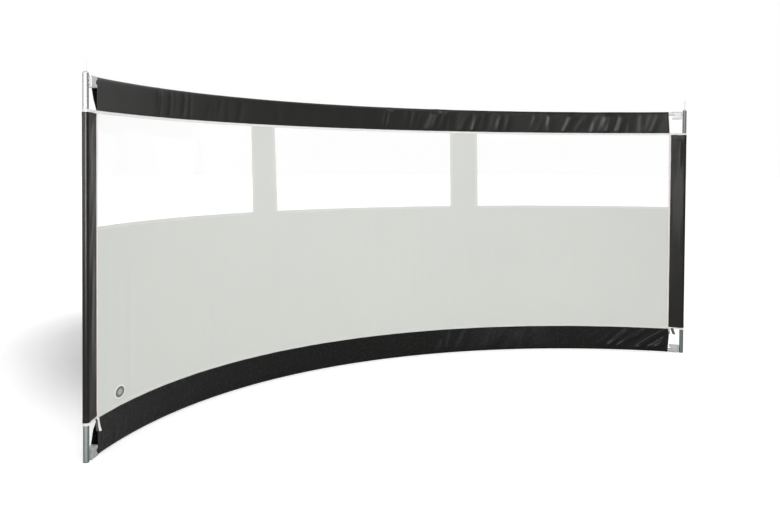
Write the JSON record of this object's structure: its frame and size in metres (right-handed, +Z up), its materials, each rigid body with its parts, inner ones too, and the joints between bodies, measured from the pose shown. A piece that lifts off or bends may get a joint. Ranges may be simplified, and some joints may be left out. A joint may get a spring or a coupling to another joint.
{
  "type": "beach windbreak",
  "caption": "Free-standing bowed windbreak bay: pale cloth with clear windows and black sleeves, stretched between curved rails and round posts with top pins.",
  "frame": {"origin": "On the ground, at the middle of the bay's box: midway between the posts, and midway between the posts and the crown of the bow.", "axes": "+Z is up. +X runs from the left post to the right one, as seen from the sheltered side. +Y points from the sheltered side to the crown of the bow."},
  "size_m": [3.3704, 0.8087, 1.448],
  "materials": {
    "post_tube": "drawn silver tube with faint lengthwise brush lines",
    "plug": "moulded light grey plastic",
    "foot": "moulded grey plastic",
    "pin": "bright round steel pin",
    "bracket_plate": "galvanised folded plate",
    "rail_tube": "galvanised steel tube",
    "black_cloth": "slightly shiny black coated woven polyester",
    "piping": "off-white woven binding",
    "tape": "off-white woven tape",
    "grey_cloth": "pale grey woven polyester",
    "clear_film": "clear flexible window film",
    "patch": "plain dark stitched patch with no mark"
  },
  "bodies": {
    "root": {"left_post": "post_tube", "right_post": "post_tube", "left_top_plug": "plug", "right_top_plug": "plug", "left_foot": "foot", "right_foot": "foot", "left_pin": "pin", "right_pin": "pin", "left_top_lug": "bracket_plate", "right_top_lug": "bracket_plate", "left_bottom_lug": "bracket_plate", "right_bottom_lug": "bracket_plate", "left_top_bracket": "bracket_plate", "right_top_bracket": "bracket_plate", "left_bottom_bracket": "bracket_plate", "right_bottom_bracket": "bracket_plate", "top_rail": "rail_tube", "bottom_rail": "rail_tube", "top_sleeve": "black_cloth", "bottom_sleeve": "black_cloth", "left_sleeve": "black_cloth", "right_sleeve": "black_cloth", "top_piping": "piping", "bottom_piping": "piping", "left_piping": "piping", "right_piping": "piping", "left_top_tape": "tape", "right_top_tape": "tape", "left_bottom_tape": "tape", "right_bottom_tape": "tape", "lower_panel": "grey_cloth", "left_pillar": "grey_cloth", "right_pillar": "grey_cloth", "left_window": "clear_film", "middle_window": "clear_film", "right_window": "clear_film", "left_tie": "tape", "right_tie": "tape", "patch": "patch"}
  },
  "joints": []
}
